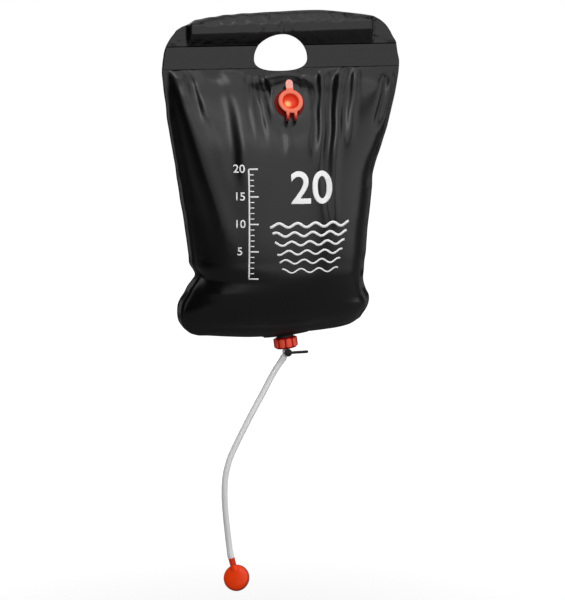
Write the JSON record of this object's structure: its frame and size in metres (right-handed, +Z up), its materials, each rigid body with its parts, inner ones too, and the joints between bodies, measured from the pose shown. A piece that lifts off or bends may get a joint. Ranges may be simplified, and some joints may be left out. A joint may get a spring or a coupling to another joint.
{
  "type": "camp shower bag",
  "caption": "Hanging water bag with hand hole, plug filler, screw-on stopcock outlet, hose and shower head.",
  "frame": {"origin": "middle of the top edge of the hand hole, on the mid plane between the two sheets", "axes": "+Z up as the bag hangs, front with the filler faces -Y, +X to the right seen from the front"},
  "size_m": [0.397, 0.1768, 0.9666],
  "materials": {
    "black_sheet": "satin PVC sheet",
    "grey_plastic": "matte extruded tube",
    "red_plastic": "semi-gloss moulding",
    "bright_red_plastic": "gloss soft moulding",
    "dark_plastic": "matte moulding",
    "rubber": "matte seal",
    "black_plastic": "satin moulding",
    "clear_plastic": "translucent moulding",
    "clear_hose": "translucent soft tube",
    "orange_plastic": "satin moulding"
  },
  "bodies": {
    "bag": {"back_panel": "black_sheet", "front_panel": "black_sheet", "sleeve_panel": "black_sheet", "weld_band_left": "black_sheet", "weld_band_right": "black_sheet", "handle_tube": "grey_plastic", "filler_neck": "red_plastic", "lid_strap": "red_plastic", "outlet_spout": "dark_plastic"},
    "filler_lid": {"filler_lid": "bright_red_plastic"},
    "valve": {"valve_body": "clear_plastic", "outlet_washer": "rubber", "hose": "clear_hose", "head_body": "orange_plastic", "spray_plate": "orange_plastic"},
    "coupling_nut": {"coupling_nut": "red_plastic"},
    "valve_key": {"valve_key": "black_plastic"}
  },
  "joints": [
    {"name": "lid_hinge", "type": "hinge", "parent": "bag", "child": "filler_lid", "pos_m": [0.0078, -0.05616, -0.13616], "axis": [1, 0, 0], "range_deg": [0, 150]},
    {"name": "valve_travel", "type": "slide", "parent": "bag", "child": "valve", "axis": [0.1305, 0, -0.9914], "range_m": [0, 0.008]},
    {"name": "nut_turn", "type": "hinge", "parent": "valve", "child": "coupling_nut", "pos_m": [0.007, 0, -0.5], "axis": [0.1305, 0, -0.9914], "range_deg": [0, 720]},
    {"name": "key_turn", "type": "hinge", "parent": "valve", "child": "valve_key", "pos_m": [0.01088, 0, -0.52945], "axis": [0, 1, 0], "range_deg": [0, 90]}
  ],
  "couplings": [
    {"joint": "nut_turn", "follows": "valve_travel", "rad_per_m": 1570.8}
  ]
}
